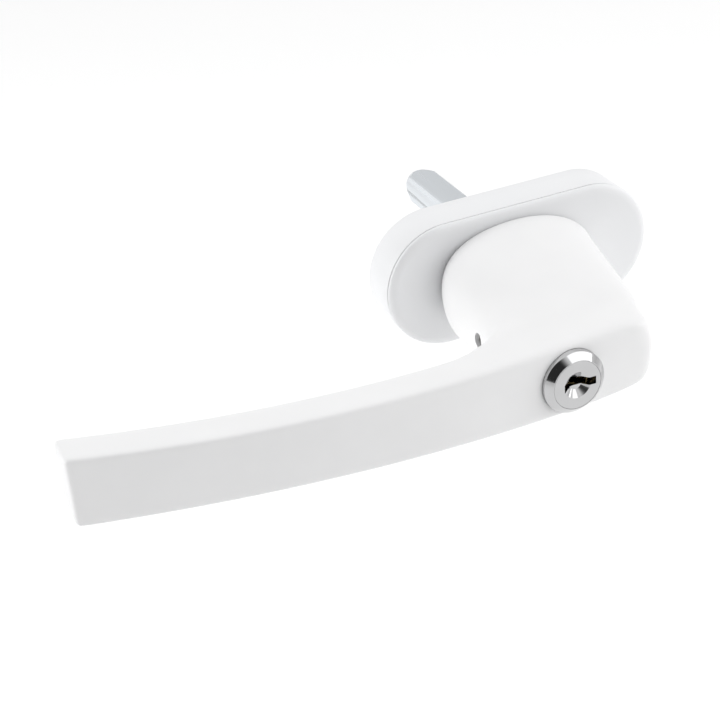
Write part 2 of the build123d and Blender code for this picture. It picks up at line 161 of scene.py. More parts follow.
handle_middle = (Vector(cad_low) + Vector(cad_high)) / 2
soft_box("main_box", (0.75, -0.50, 0.80), handle_middle, size=1.3, watts=5.6)
soft_box("right_box", (1.38, -0.55, 0.20), handle_middle, size=0.5, watts=1.2)
soft_box("left_box", (-1.35, 0.46, 0.36), handle_middle, size=0.8, watts=8.0)

tent = bpy.data.worlds.new("light_tent")
bpy.context.scene.world = tent
tent.use_nodes = True
tent_nodes = tent.node_tree.nodes
tent_links = tent.node_tree.links
tent_direction = tent_nodes.new("ShaderNodeTexCoord")
towards_dark = tent_nodes.new("ShaderNodeVectorMath")
towards_dark.operation = "DOT_PRODUCT"
towards_dark.inputs[1].default_value = TENT_DARK_SIDE
falloff = tent_nodes.new("ShaderNodeMapRange")
falloff.interpolation_type = "SMOOTHSTEP"
falloff.inputs["From Min"].default_value = TENT_DARK_START
falloff.inputs["From Max"].default_value = TENT_DARK_FULL
falloff.inputs["To Min"].default_value = TENT_STRENGTH
falloff.inputs["To Max"].default_value = TENT_DARK_LEVEL
tent_links.new(tent_direction.outputs["Generated"], towards_dark.inputs[0])
tent_links.new(towards_dark.outputs["Value"], falloff.inputs["Value"])
far_side = tent_nodes.new("ShaderNodeMapRange")
far_side.inputs["From Min"].default_value = TENT_FAR_START
far_side.inputs["From Max"].default_value = TENT_FAR_END
far_side.inputs["To Min"].default_value = TENT_FAR_LEVEL
far_side.inputs["To Max"].default_value = 1.0
dimmed = tent_nodes.new("ShaderNodeMath")
dimmed.operation = "MULTIPLY"
tent_links.new(towards_dark.outputs["Value"], far_side.inputs["Value"])
tent_links.new(falloff.outputs["Result"], dimmed.inputs[0])
tent_links.new(far_side.outputs["Result"], dimmed.inputs[1])
tent_links.new(dimmed.outputs["Value"], tent_nodes["Background"].inputs["Strength"])
tent_nodes["Background"].inputs["Color"].default_value = (1, 1, 1, 1)
bpy.context.scene.view_settings.view_transform = "Standard"
print("lights:", [lamp.name for lamp in bpy.data.lights])

# %% [markdown]
# Every piece is made by the same few moves: add a primitive, go into edit mode, pick points,
# edges or faces by where they are, and push them with an operator. An operator works on all
# that is selected, so each new piece starts with nothing selected.

# %% Modelling helpers
# how far short of a plane a place may lie and still be picked as on it
NEARLY = 0.01


def at(x, depth, z=0.0):
    """A place from millimetres: a depth is counted from the mounting face towards the room."""
    return Vector((x, -depth, z)) * MM


def deselect_all():
    if bpy.context.object and bpy.context.object.mode != "OBJECT":
        bpy.ops.object.mode_set(mode="OBJECT")
    bpy.ops.object.select_all(action="DESELECT")


def open_edit(piece):
    """Opens one piece in edit mode, with nothing picked."""
    deselect_all()
    bpy.context.view_layer.objects.active = piece
    piece.select_set(True)
    bpy.ops.object.mode_set(mode="EDIT")
    bpy.context.tool_settings.mesh_select_mode = (True, False, False)
    bpy.ops.mesh.select_all(action="DESELECT")


def pick(piece, kind, test):
    """Selects the verts, edges or faces whose middle passes the test."""
    bpy.ops.mesh.select_all(action="DESELECT")
    bpy.context.tool_settings.mesh_select_mode = [kind == each for each in ("verts", "edges", "faces")]
    mesh = bmesh.from_edit_mesh(piece.data)
    for item in getattr(mesh, kind):
        if kind == "verts":
            middle = item.co
        elif kind == "edges":
            middle = (item.verts[0].co + item.verts[1].co) / 2
        else:
            middle = item.calc_center_median()
        if test(middle):
            item.select_set(True)
    mesh.select_flush_mode()
    bmesh.update_edit_mesh(piece.data)


def settle(piece):
    """Leaves edit mode and puts the piece's place into its mesh."""
    deselect_all()
    piece.select_set(True)
    bpy.context.view_layer.objects.active = piece
    bpy.ops.object.transform_apply(location=True, rotation=True, scale=True)


def apply_modifier(piece, kind, **settings):
    """Adds a modifier, sets it and applies it."""
    deselect_all()
    piece.select_set(True)
    bpy.context.view_layer.objects.active = piece
    modifier = piece.modifiers.new(kind.lower(), kind)
    for name, value in settings.items():
        setattr(modifier, name, value)
    bpy.ops.object.modifier_apply(modifier=modifier.name)


def combine(piece, tool, operation="DIFFERENCE"):
    """Cuts the tool out of the piece, or joins it on, and throws the tool away."""
    apply_modifier(piece, "BOOLEAN", object=tool, operation=operation, solver="EXACT")
    bpy.data.objects.remove(tool)


def pull_through(piece, back, front):
    """Extrudes a flat outline, open in edit mode, from one depth to another."""
    bpy.ops.mesh.select_all(action="SELECT")
    bpy.ops.mesh.extrude_region_move(TRANSFORM_OT_translate={"value": (0, (back - front) * MM, 0)})
    bpy.ops.mesh.select_all(action="SELECT")
    bpy.ops.mesh.normals_make_consistent(inside=False)
    bpy.ops.object.mode_set(mode="OBJECT")


def facet_count(piece):
    return sum(len(polygon.vertices) - 2 for polygon in piece.data.polygons)


print("helpers ready")

# %% [markdown]
# Round parts are turned on a lathe, and so are they here: a circle is the first edge, and each
# step of the profile extrudes it along the axis and scales it to the next radius. A closed
# profile, which ends where it starts, gives a tube. The same lathe makes the drills that cut
# round holes.

# %% Lathe, drill bar and slot cutter
def lathe(name, profile, x=0.0, segments=96, closed=False):
    """A round body on an axis parallel to Y, from (radius, depth) steps in millimetres."""
    deselect_all()
    first_radius, first_depth = profile[0]
    bpy.ops.mesh.primitive_circle_add(
        vertices=segments,
        radius=first_radius * MM,
        location=at(x, first_depth),
        rotation=(math.pi / 2, 0, 0),
    )
    piece = bpy.context.object
    piece.name = name
    settle(piece)
    open_edit(piece)
    bpy.ops.mesh.select_all(action="SELECT")
    steps = list(profile[1:]) + ([profile[0]] if closed else [])
    radius, depth = first_radius, first_depth
    for next_radius, next_depth in steps:
        shift = (0, (depth - next_depth) * MM, 0)
        bpy.ops.mesh.extrude_region_move(TRANSFORM_OT_translate={"value": shift})
        growth = next_radius / radius
        bpy.ops.transform.resize(value=(growth, 1, growth), center_override=at(x, next_depth))
        radius, depth = next_radius, next_depth
    bpy.ops.mesh.select_all(action="SELECT")
    bpy.ops.mesh.remove_doubles(threshold=0.001 * MM)
    bpy.ops.mesh.fill_holes(sides=0)
    bpy.ops.mesh.select_all(action="SELECT")
    bpy.ops.mesh.normals_make_consistent(inside=False)
    bpy.ops.object.mode_set(mode="OBJECT")
    return piece


print("lathe ready")

# %% [markdown]
# Three more blanks are enough for the rest: a box, a round rod lying across, and a slot cutter,
# which is a circle pulled apart into an upright shape with round ends.

# %% Box, cross rod and slot cutter
def block(name, low, high):
    """A box between two corners given as (x, depth, z) in millimetres."""
    deselect_all()
    corner_a, corner_b = at(*low), at(*high)
    size = [abs(b - a) for a, b in zip(corner_a, corner_b)]
    bpy.ops.mesh.primitive_cube_add(size=1, location=(corner_a + corner_b) / 2)
    piece = bpy.context.object
    piece.name = name
    piece.scale = size
    settle(piece)
    return piece


def cross_rod(name, radius, start_x, end_x, depth, segments=64):
    """A round rod along X on the centre line."""
    deselect_all()
    bpy.ops.mesh.primitive_cylinder_add(
        vertices=segments,
        radius=radius * MM,
        depth=(end_x - start_x) * MM,
        location=at((start_x + end_x) / 2, depth),
        rotation=(0, math.pi / 2, 0),
    )
    piece = bpy.context.object
    piece.name = name
    settle(piece)
    return piece


def obround(name, width, height, x, back, front, segments=48):
    """An upright slot shape: half circles above and below a straight middle."""
    half_step = math.pi / segments
    deselect_all()
    bpy.ops.mesh.primitive_circle_add(
        vertices=segments,
        radius=width / 2 * MM,
        fill_type="NGON",
        location=at(x, back),
        rotation=(math.pi / 2, half_step, 0),
    )
    piece = bpy.context.object
    piece.name = name
    settle(piece)
    pull = (height - width) / 2 * MM
    for side in (-1, 1):
        open_edit(piece)
        pick(piece, "verts", lambda place: place.z * side > 0)
        bpy.ops.transform.translate(value=(0, 0, side * pull))
    pull_through(piece, back, front)
    return piece


print("blanks ready: box, cross rod, slot cutter")

# %% [markdown]
# The lever is one zinc casting: a bowed grip, a head, and an oval neck that swells towards the
# rosette. A casting has no sharp line where the neck grows out of the grip, so it is made as a
# subdivision surface: a coarse cage of a few hundred points that Blender rounds off. The cage
# is drawn on a plain grid first, and each of its points is moved to its place afterwards.

# %% The lever's measures
FRONT_RADIUS = 280.0
BOW_X = -34.0
BOW_DEPTH = 62.5
GRIP_THICKNESS = 9.6
TIP_X = -118.4
TIP_HALF_WIDTH = 7.9
WAIST_X = -58.0
WAIST_HALF_WIDTH = 7.5
HEAD_X = -14.0
HEAD_HALF_WIDTH = 8.3
TIP_SOFTNESS = 2.0
HEAD_SOFTNESS = 3.3
BACK_SOFTNESS = 3.8

# columns of the cage along the grip, and the first four columns of the head
GRIP_COLUMNS = (TIP_X, TIP_X + TIP_SOFTNESS, -108.0, -96.0, -84.0, -72.0, -60.0, -50.0, -42.5)
HEAD_COLUMNS = (-36.0, -27.0, HEAD_X)
# behind the front face, right edge, half width and squareness of the head's four outlines
HEAD_OUTLINES = (
    (0.0, 4.7, HEAD_HALF_WIDTH, 4.6),
    (3.2, 5.8, 8.35, 4.5),
    (6.0, 6.8, 8.35, 4.2),
    (GRIP_THICKNESS, 8.0, 8.4, 3.9),
)
# depth, left edge, right edge, half width, squareness on the right and on the left, of the neck
NECK_RINGS = (
    (48.6, -28.8, 8.9, 8.7, 3.6, 3.6),
    (43.0, -25.4, 10.3, 9.5, 3.1, 3.0),
    (36.0, -24.5, 12.1, 10.4, 2.7, 2.6),
    (28.0, -24.4, 14.0, 11.3, 2.4, 2.8),
    (20.0, -23.9, 16.0, 11.95, 2.2, 2.9),
    (14.5, -22.0, 17.5, 12.3, 2.05, 2.7),
    (12.4, -20.9, 18.2, 12.4, 2.0, 2.4),
    (11.7, -20.7, 18.3, 12.4, 2.0, 2.3),
)
RING_GROWTH = 1.026
BASE_INSET = 0.93
END_FULLNESS = 1.01
WIDENING_COLUMNS = 2

CAGE_STEP = 0.01
COLUMN_COUNT = len(GRIP_COLUMNS) + 5
NECK_COLUMN = len(GRIP_COLUMNS)
MIDDLE_COLUMN = NECK_COLUMN + 2
BACK_LEVEL = len(HEAD_OUTLINES) - 1


def front_depth(x):
    """Depth of the bowed front face."""
    return BOW_DEPTH - FRONT_RADIUS + math.sqrt(FRONT_RADIUS ** 2 - (x - BOW_X) ** 2)


def grip_half_width(x):
    """Half the grip's width: a smooth curve through the tip, the waist and the head."""
    known = ((TIP_X, TIP_HALF_WIDTH), (WAIST_X, WAIST_HALF_WIDTH), (HEAD_X, HEAD_HALF_WIDTH))
    total = 0.0
    for here, width in known:
        share = width
        for other, _ in known:
            if other != here:
                share *= (x - other) / (here - other)
        total += share
    return total


def edge_softness(x):
    """How far from a front edge its support row lies: softer towards the head."""
    share = min(1.0, max(0.0, (x - WAIST_X) / (HEAD_X - WAIST_X)))
    return TIP_SOFTNESS + share * (HEAD_SOFTNESS - TIP_SOFTNESS)


def round_angle(column, row):
    """The angle of a point of a 5 by 5 grid when the grid is rounded into rings."""
    ring = max(abs(column), abs(row))
    if ring == 0:
        return 0.0
    if column == ring:
        return math.pi / 4 * row / ring
    if row == ring:
        return math.pi / 4 * (2 - column / ring)
    if column == -ring:
        return math.pi / 4 * (4 - row / ring)
    return math.pi / 4 * (6 + column / ring)


def squared_circle(angle, squareness):
    """A point of a unit circle, squarer with a larger number than 2."""
    cosine, sine = math.cos(angle), math.sin(angle)
    across = math.copysign(abs(cosine) ** (2 / squareness), cosine)
    up = math.copysign(abs(sine) ** (2 / squareness), sine)
    return across, up


print("depth of the front face at tip and head, mm:", [round(front_depth(x), 1) for x in (TIP_X, HEAD_X)])

# %% [markdown]
# Three rules place a point of the cage. On the grip, the four outlines follow the bow, and the
# rows beside an edge keep it soft: the closer a row, the tighter the edge. On the right half of
# the head the outline turns round the end. On the neck, every ring is an oval that grows and
# gets rounder towards the rosette.

# %% Where each point of the cage belongs
def neck_place(column, row, level):
    measures = NECK_RINGS[level - BACK_LEVEL - 1]
    depth, left, right, half_width, right_squareness, left_squareness = measures
    ring = max(abs(column), abs(row))
    share = (0.0, BASE_INSET, 1.0)[ring] * RING_GROWTH
    squareness = left_squareness if column < 0 else right_squareness
    across, up = squared_circle(round_angle(column, row), squareness)
    x = (left + right) / 2 + across * share * (right - left) / 2
    return x, depth, up * share * half_width


def head_end_place(column, row, level):
    behind, right, half_width, squareness = HEAD_OUTLINES[level]
    across, up = squared_circle(round_angle(column, row), squareness)
    x = HEAD_X + across * (right - HEAD_X) * RING_GROWTH
    z = up * half_width * (1.0 if column == 0 else END_FULLNESS)
    if max(column, abs(row)) == 1:
        x -= HEAD_SOFTNESS * across
        z -= HEAD_SOFTNESS * up
    return x, front_depth(min(x, right)) - behind, z


def grip_place(x, row, level, widening):
    softness = edge_softness(x)
    behind = HEAD_OUTLINES[level][0]
    if level == 1:
        behind = softness
    lean = FRONT_RADIUS / math.sqrt(FRONT_RADIUS ** 2 - (x - BOW_X) ** 2)
    half_width = grip_half_width(x) + widening
    inset = softness if level < 2 else BACK_SOFTNESS
    rows = (0.0, half_width - inset, half_width)
    return x, front_depth(x) - behind * lean, math.copysign(rows[abs(row)], row)


def cage_place(column, row, level):
    """The place of a cage point, in metres, from its column, row and level on the grid."""
    head_column = column - MIDDLE_COLUMN
    if level > BACK_LEVEL:
        return at(*neck_place(head_column, row, level))
    if head_column >= 1 or (head_column == 0 and abs(row) == 2):
        return at(*head_end_place(head_column, row, level))
    x = (GRIP_COLUMNS + HEAD_COLUMNS)[column]
    head_width = HEAD_OUTLINES[level][2] - HEAD_HALF_WIDTH
    widening = max(0.0, head_width * (head_column + WIDENING_COLUMNS) / WIDENING_COLUMNS)
    return at(*grip_place(x, row, level, widening))


print("the cage has", COLUMN_COUNT, "columns")

# %% [markdown]
# A box is cut into a regular grid, with one straight cut at each inner column, level and row.
# The neck starts as the grid's back faces at the head end, pulled out one ring at a time.

# %% The cage on its grid, and the neck pulled out of the back of the head
deselect_all()
bpy.ops.mesh.primitive_cube_add(size=1)
lever = bpy.context.object
lever.name = "lever_casting"
lever.scale = Vector((COLUMN_COUNT - 1, BACK_LEVEL, 4)) * CAGE_STEP
lever.location = Vector(((COLUMN_COUNT - 1) / 2, BACK_LEVEL / 2, 0)) * CAGE_STEP
settle(lever)
open_edit(lever)
grid_cuts = (
    (Vector((1, 0, 0)), range(1, COLUMN_COUNT - 1)),
    (Vector((0, 1, 0)), range(1, BACK_LEVEL)),
    (Vector((0, 0, 1)), range(-1, 2)),
)
for direction, steps in grid_cuts:
    for step in steps:
        bpy.ops.mesh.select_all(action="SELECT")
        bpy.ops.mesh.bisect(plane_co=direction * step * CAGE_STEP, plane_no=direction)
pick(
    lever,
    "faces",
    lambda place: place.y > (BACK_LEVEL - 0.1) * CAGE_STEP and place.x > NECK_COLUMN * CAGE_STEP,
)
for ring in NECK_RINGS:
    bpy.ops.mesh.extrude_region_move(TRANSFORM_OT_translate={"value": (0, CAGE_STEP, 0)})
print("cage points:", len(bmesh.from_edit_mesh(lever.data).verts))

# %% [markdown]
# Each point knows its column, row and level from where it stands on the grid, so it can be sent
# to its own place. Three rounds of subdivision then turn the cage into a smooth skin.

# %% Every cage point is moved to its place
bpy.context.tool_settings.mesh_select_mode = (True, False, False)
bpy.ops.mesh.select_all(action="DESELECT")
cage = bmesh.from_edit_mesh(lever.data)
cage.verts.ensure_lookup_table()
for index in range(len(cage.verts)):
    point = cage.verts[index]
    grid = [round(value / CAGE_STEP) for value in point.co]
    target = cage_place(grid[0], grid[2], grid[1])
    point.select_set(True)
    bpy.ops.transform.translate(value=target - point.co)
    cage = bmesh.from_edit_mesh(lever.data)
    cage.verts.ensure_lookup_table()
    cage.verts[index].select_set(False)
bpy.ops.object.mode_set(mode="OBJECT")
apply_modifier(lever, "SUBSURF", levels=3, render_levels=3)
print("lever skin:", facet_count(lever), "triangles")

# %% [markdown]
# The casting is then machined, and every cut is made by a tool of the cut's own shape: a turned
# drill for a round hole, a square broach for the spindle, and a slot cutter for the bolt. The
# journal, which turns in the rosette, is turned first and joined on.

# %% Machining the lever
FIT_GAP = 0.02
RUNNING_GAP = 0.05
FREE_GAP = 0.15
NECK_BASE = 11.7
JOURNAL_RADIUS = 6.5
JOURNAL_END = 4.6
CLIP_GROOVE_RADIUS = 5.75
CLIP_GROOVE = (5.05, 5.85)
JOURNAL_CHAMFER = 0.3
SPINDLE_SIDE = 7.0
SOCKET_DEPTH = 31.0
LOCK_X = -15.9
BOLT_X = -9.5
BOLT_THICKNESS = 3.0
BOLT_WIDTH = 5.4
BOLT_FRONT = 34.2
BARREL_RADIUS = 4.0
BARREL_BACK = 25.2
BARREL_FRONT = 33.5
FOLLOWER_RADIUS = 1.0
HOUSING_RADIUS = 6.3
COLLAR_RADIUS = 7.0
COLLAR_SEAT = 61.3
CYLINDER_ROOM = 33.8
PIN_RADIUS = 1.95
PIN_DEPTH = 38.0
PIN_OUTER_X = -23.9
PIN_INNER_X = -19.3
PIN_DRILL_START = -40.0
JOURNAL_OVERLAP = 3.0
OUTSIDE = 70.0

journal = lathe("journal", (
    (JOURNAL_RADIUS - JOURNAL_CHAMFER, JOURNAL_END),
    (JOURNAL_RADIUS, JOURNAL_END + JOURNAL_CHAMFER),
    (JOURNAL_RADIUS, CLIP_GROOVE[0]),
    (CLIP_GROOVE_RADIUS, CLIP_GROOVE[0]),
    (CLIP_GROOVE_RADIUS, CLIP_GROOVE[1]),
    (JOURNAL_RADIUS, CLIP_GROOVE[1]),
    (JOURNAL_RADIUS, NECK_BASE + JOURNAL_OVERLAP),
))
combine(lever, journal, "UNION")
socket_half = SPINDLE_SIDE / 2 + FIT_GAP
socket = block("broach", (-socket_half, 0, -socket_half), (socket_half, SOCKET_DEPTH, socket_half))
combine(lever, socket)
bolt_room = obround(
    "bolt_room",
    BOLT_THICKNESS + 2 * FREE_GAP,
    BOLT_WIDTH + 2 * FREE_GAP,
    BOLT_X,
    NECK_BASE - 1,
    BOLT_FRONT + 4 * FREE_GAP,
)
combine(lever, bolt_room)
follower_half = FOLLOWER_RADIUS + FREE_GAP
follower_slot = block(
    "follower_slot",
    (LOCK_X, NECK_BASE - 1, -follower_half),
    (BOLT_X, BARREL_FRONT, follower_half),
)
combine(lever, follower_slot)
lock_drill = lathe("lock_drill", (
    (BARREL_RADIUS + 2 * RUNNING_GAP, BARREL_BACK - FREE_GAP),
    (BARREL_RADIUS + 2 * RUNNING_GAP, CYLINDER_ROOM),
    (HOUSING_RADIUS + RUNNING_GAP, CYLINDER_ROOM),
    (HOUSING_RADIUS + RUNNING_GAP, COLLAR_SEAT),
    (COLLAR_RADIUS + RUNNING_GAP, COLLAR_SEAT),
    (COLLAR_RADIUS + RUNNING_GAP, OUTSIDE),
), LOCK_X)
combine(lever, lock_drill)
combine(lever, cross_rod("pin_drill", PIN_RADIUS + FIT_GAP, PIN_DRILL_START, LOCK_X, PIN_DEPTH))
print("machined lever:", facet_count(lever), "triangles")

# %% [markdown]
# The lock cylinder is a bought part: a zinc housing whose chromed collar sits on the lever, and
# a plug that the key turns. The collar's bevel is what catches the light, so its corners are
# broken by tiny extra steps in the profile, as the polishing wheel leaves them.

# %% Lock housing
COLLAR_RIM = 63.1
COLLAR_FACE = 64.4
COLLAR_FACE_RADIUS = 5.6
HOUSING_BACK = 34.6
PLUG_HEAD_RADIUS = 5.4
PLUG_HEAD_LENGTH = 1.2
PLUG_RADIUS = 4.8
PLUG_BACK = 41.0
STEM_RADIUS = 3.0
POLISH = 0.12

housing = lathe("lock_housing", (
    (STEM_RADIUS + RUNNING_GAP, HOUSING_BACK),
    (HOUSING_RADIUS - 2 * POLISH, HOUSING_BACK),
    (HOUSING_RADIUS, HOUSING_BACK + 2 * POLISH),
    (HOUSING_RADIUS, COLLAR_SEAT),
    (COLLAR_RADIUS - POLISH, COLLAR_SEAT),
    (COLLAR_RADIUS, COLLAR_SEAT + POLISH),
    (COLLAR_RADIUS, COLLAR_RIM - POLISH),
    (COLLAR_RADIUS - POLISH / 3, COLLAR_RIM - POLISH / 4),
    (COLLAR_RADIUS - POLISH, COLLAR_RIM + POLISH / 2),
    (COLLAR_FACE_RADIUS + POLISH, COLLAR_FACE - POLISH),
    (COLLAR_FACE_RADIUS, COLLAR_FACE),
    (PLUG_HEAD_RADIUS + RUNNING_GAP, COLLAR_FACE),
    (PLUG_HEAD_RADIUS + RUNNING_GAP, COLLAR_FACE - PLUG_HEAD_LENGTH - RUNNING_GAP),
    (PLUG_RADIUS + RUNNING_GAP, COLLAR_FACE - PLUG_HEAD_LENGTH - RUNNING_GAP),
    (PLUG_RADIUS + RUNNING_GAP, PLUG_BACK - RUNNING_GAP),
    (STEM_RADIUS + RUNNING_GAP, PLUG_BACK - RUNNING_GAP),
), LOCK_X, closed=True)
pin_end = PIN_INNER_X + FIT_GAP
combine(housing, cross_rod("pin_drill", PIN_RADIUS + FIT_GAP, PIN_DRILL_START, pin_end, PIN_DEPTH))
print("lock housing:", facet_count(housing), "triangles")

# %% [markdown]
# The plug is turned too, and its face gets a shallow funnel that leads the key in.

# %% Lock plug, turned
STEM_BACK = 33.6
PLUG_CLIP_GROOVE_RADIUS = 2.4
PLUG_CLIP_GROOVE = (33.9, 34.5)
FUNNEL_RADIUS = 3.0
FUNNEL_FLOOR_RADIUS = 1.4
FUNNEL_DEPTH = 1.0

plug = lathe("lock_plug", (
    (STEM_RADIUS - POLISH, STEM_BACK),
    (STEM_RADIUS, STEM_BACK + POLISH),
    (STEM_RADIUS, PLUG_CLIP_GROOVE[0]),
    (PLUG_CLIP_GROOVE_RADIUS, PLUG_CLIP_GROOVE[0]),
    (PLUG_CLIP_GROOVE_RADIUS, PLUG_CLIP_GROOVE[1]),
    (STEM_RADIUS, PLUG_CLIP_GROOVE[1]),
    (STEM_RADIUS, PLUG_BACK),
    (PLUG_RADIUS - POLISH, PLUG_BACK),
    (PLUG_RADIUS, PLUG_BACK + POLISH),
    (PLUG_RADIUS, COLLAR_FACE - PLUG_HEAD_LENGTH),
    (PLUG_HEAD_RADIUS, COLLAR_FACE - PLUG_HEAD_LENGTH),
    (PLUG_HEAD_RADIUS, COLLAR_FACE - FIT_GAP),
    (PLUG_HEAD_RADIUS - FIT_GAP, COLLAR_FACE),
), LOCK_X)
funnel = lathe("funnel", (
    (FUNNEL_FLOOR_RADIUS, COLLAR_FACE - FUNNEL_DEPTH),
    (FUNNEL_RADIUS, COLLAR_FACE),
    (FUNNEL_RADIUS, OUTSIDE),
), LOCK_X)
combine(plug, funnel)
print("turned plug:", facet_count(plug), "triangles")

# %% [markdown]
# A wavy keyway is broached along the plug. Its outline is a flat polygon, pulled through the
# plug's length, and it stops short of the back.

# %% Keyway
KEYWAY_BACK = 47.0
KEYWAY_OUTLINE = (
    (-3.0, 0.8), (-1.7, 1.35), (1.1, 1.45), (2.6, 0.95), (4.3, 0.9),
    (4.3, -0.85), (2.6, -0.8), (1.1, -0.4), (-0.9, -0.35), (-2.1, -0.7), (-3.0, -1.05),
)


def broach(name, outline, x, back, front):
    """A straight cutter with the given front-view outline, from a circle with as many points."""
    deselect_all()
    bpy.ops.mesh.primitive_circle_add(
        vertices=len(outline),
        radius=MM,
        fill_type="NGON",
        location=at(x, back),
    )
    piece = bpy.context.object
    piece.name = name
    settle(piece)
    for index, (across, up) in enumerate(outline):
        open_edit(piece)
        mesh = bmesh.from_edit_mesh(piece.data)
        mesh.verts.ensure_lookup_table()
        corner = mesh.verts[index]
        corner.select_set(True)
        bpy.ops.transform.translate(value=at(x + across, back, up) - corner.co)
    pull_through(piece, back, front)
    return piece


combine(plug, broach("keyway", KEYWAY_OUTLINE, LOCK_X, KEYWAY_BACK, OUTSIDE))
print("plug with its keyway:", facet_count(plug), "triangles")

# %% [markdown]
# Five slots cross the plug, each with a pocket above it for the wafer's ear and its spring.
# The flat tang at the back turns the barrel that drives the bolt.

# %% Wafer slots and tang
WAFER_COUNT = 5
WAFER_FIRST = 60.8
WAFER_PITCH = 2.6
WAFER_THICKNESS = 1.0
WAFER_HALF_HEIGHT = 2.4
EAR_POCKET = (-1.75, 1.9, 3.65)
TANG = (2.4, 5.0, 31.6)
SLOT_OVERRUN = 0.5

low_x, high_x, top = EAR_POCKET
half = WAFER_HALF_HEIGHT + RUNNING_GAP
reach = PLUG_RADIUS + SLOT_OVERRUN
for index in range(WAFER_COUNT):
    front = WAFER_FIRST - index * WAFER_PITCH + RUNNING_GAP
    back = front - WAFER_THICKNESS - 2 * RUNNING_GAP
    slot = block("wafer_slot", (LOCK_X - reach, back, -half), (LOCK_X + reach, front, half))
    combine(slot, block("ear_room", (LOCK_X + low_x, back, 0), (LOCK_X + high_x, front, top)), "UNION")
    combine(plug, slot)
tang_width, tang_length, tang_back = TANG
tang = block(
    "tang",
    (LOCK_X - tang_width / 2, tang_back, -tang_length / 2),
    (LOCK_X + tang_width / 2, STEM_BACK + SLOT_OVERRUN, tang_length / 2),
)
combine(plug, tang, "UNION")
print("lock plug:", facet_count(plug), "triangles")

# %% [markdown]
# The spindle is cold-drawn square bar, so its long edges are rolled rather than sharp, and its
# free end is turned to a blunt point that finds its way into the window's gearbox. The bar is
# a box with bevelled edges, and the point is what it shares with a turned blank.

# %% Spindle
SPINDLE_END_Y = 44.0
SPINDLE_FRONT = 30.9
SPINDLE_EDGE = 0.4
# only the four long edges lie further out than this both ways
CORNER_REGION = 3.0
POINT_PROFILE = ((3.15, -44.0), (3.6, -43.7), (5.05, -40.4), (5.2, -39.9), (5.2, 32.0))

spindle = block(
    "spindle_bar",
    (-SPINDLE_SIDE / 2, -SPINDLE_END_Y, -SPINDLE_SIDE / 2),
    (SPINDLE_SIDE / 2, SPINDLE_FRONT, SPINDLE_SIDE / 2),
)
open_edit(spindle)
pick(spindle, "edges", lambda place: min(abs(place.x), abs(place.z)) > CORNER_REGION * MM)
bpy.ops.mesh.bevel(offset=SPINDLE_EDGE * MM, segments=3, affect="EDGES")
bpy.ops.object.mode_set(mode="OBJECT")
combine(spindle, lathe("turned_blank", POINT_PROFILE), "INTERSECT")
print("spindle:", facet_count(spindle), "triangles")

# %% [markdown]
# The rosette's two shells have the same outline, a rectangle with round ends. A circle is pulled
# apart into that shape.

# %% Stadium blank
OUTLINE_SEGMENTS = 160


def stadium(name, length, width, back, front, segments=OUTLINE_SEGMENTS):
    """A plate with half-round ends, lying along X."""
    deselect_all()
    bpy.ops.mesh.primitive_circle_add(
        vertices=segments,
        radius=width / 2 * MM,
        fill_type="NGON",
        location=at(0, back),
        rotation=(math.pi / 2, math.pi / segments, 0),
    )
    piece = bpy.context.object
    piece.name = name
    settle(piece)
    pull = (length - width) / 2 * MM
    for side in (-1, 1):
        open_edit(piece)
        pick(piece, "verts", lambda place: place.x * side > 0)
        bpy.ops.transform.translate(value=(side * pull, 0, 0))
    pull_through(piece, back, front)
    return piece


def round_rim(piece, depth, radius, segments):
    """Rounds the rim of a plate at one depth."""
    open_edit(piece)
    pick(piece, "edges", lambda place: abs(place.y + depth * MM) < 0.01 * MM)
    bpy.ops.mesh.bevel(offset=radius * MM, segments=segments, affect="EDGES")
    bpy.ops.object.mode_set(mode="OBJECT")


print("stadium outline:", OUTLINE_SEGMENTS, "points")

# %% [markdown]
# The thin cap turns to uncover the screws, on a sleeve that runs in a groove of the body.
# The cap's front edge is not a plain quarter circle: it reaches further in than it drops. So
# the front face is inset again and again, and each inset is thinner and lower than the last, as
# the steps of a quarter ellipse are.

# %% Rosette cap
ROSETTE_LENGTH = 67.0
ROSETTE_WIDTH = 30.0
ROSETTE_DEPTH = 11.5
CAP_BACK = 10.25
CAP_BACK_EDGE = 0.08
CAP_EDGE_REACH = 2.2
CAP_EDGE_RISE = 1.1
EDGE_STEPS = 9
CAP_HOLE_RADIUS = 11.5
CAP_HOLE_EDGE = 0.2
SLEEVE_RADIUS = 12.3
SLEEVE_BACK = 8.4
SLEEVE_SINK = 0.4

cap = stadium("rosette_cover", ROSETTE_LENGTH, ROSETTE_WIDTH, CAP_BACK, ROSETTE_DEPTH - CAP_EDGE_RISE)
round_rim(cap, CAP_BACK, CAP_BACK_EDGE, 2)
open_edit(cap)
pick(cap, "faces", lambda place: place.y < (CAP_EDGE_RISE - ROSETTE_DEPTH + NEARLY) * MM)
for step in range(EDGE_STEPS):
    start, end = (math.pi / 2 * angle / EDGE_STEPS for angle in (step, step + 1))
    bpy.ops.mesh.inset(
        thickness=CAP_EDGE_REACH * (math.cos(start) - math.cos(end)) * MM,
        depth=CAP_EDGE_RISE * (math.sin(end) - math.sin(start)) * MM,
    )
bpy.ops.object.mode_set(mode="OBJECT")
sleeve = lathe("sleeve", ((SLEEVE_RADIUS, SLEEVE_BACK), (SLEEVE_RADIUS, ROSETTE_DEPTH - SLEEVE_SINK)))
combine(cap, sleeve, "UNION")
cap_bore = lathe("cap_bore", (
    (CAP_HOLE_RADIUS, 0.0),
    (CAP_HOLE_RADIUS, ROSETTE_DEPTH - CAP_HOLE_EDGE),
    (CAP_HOLE_RADIUS + CAP_HOLE_EDGE, ROSETTE_DEPTH),
    (CAP_HOLE_RADIUS + CAP_HOLE_EDGE, ROSETTE_DEPTH + 1),
))
combine(cap, cap_bore)
